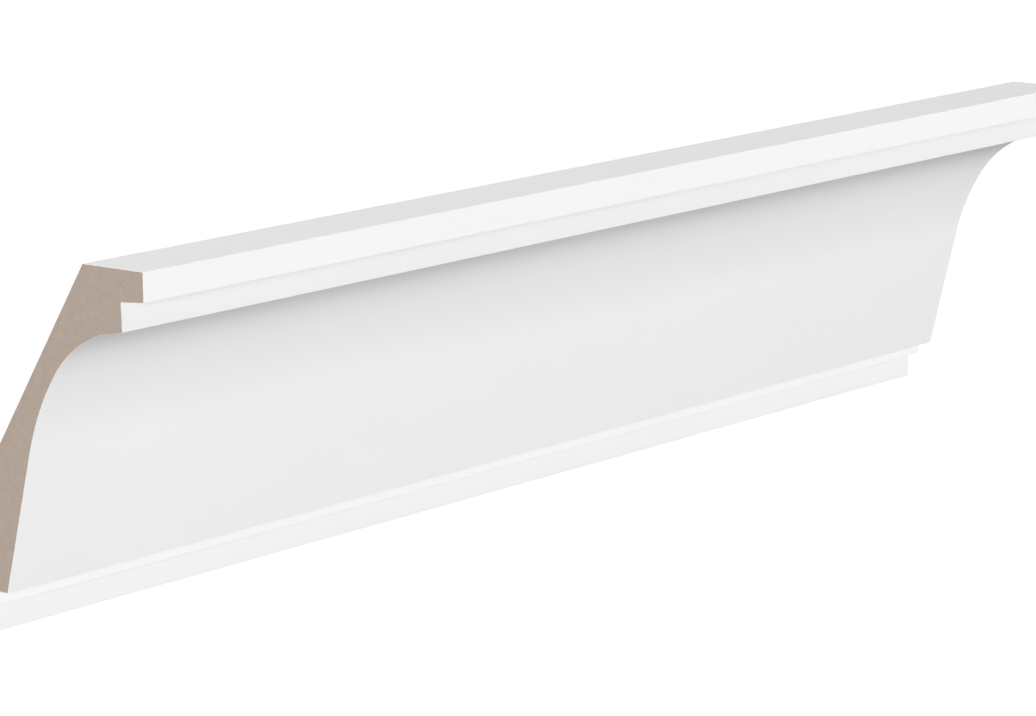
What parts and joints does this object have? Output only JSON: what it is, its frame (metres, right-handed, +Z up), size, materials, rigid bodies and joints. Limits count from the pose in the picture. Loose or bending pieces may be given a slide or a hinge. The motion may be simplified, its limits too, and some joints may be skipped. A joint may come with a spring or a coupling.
{
  "type": "crown moulding length",
  "caption": "Length of crown moulding, cut square at both ends: stepped fascia at the ceiling, wide hollow cove, small stepped foot at the wall and a sloping back.",
  "frame": {"origin": "middle of the upright face that lies against the wall: half way along the length and half way up that face", "axes": "+X along the length, +Y into the wall, +Z up to the ceiling; the cove faces -Y and down"},
  "size_m": [0.48, 0.0849, 0.1171],
  "materials": {
    "primed_fibreboard": null
  },
  "bodies": {
    "root": {"moulding": "primed_fibreboard"}
  },
  "joints": []
}
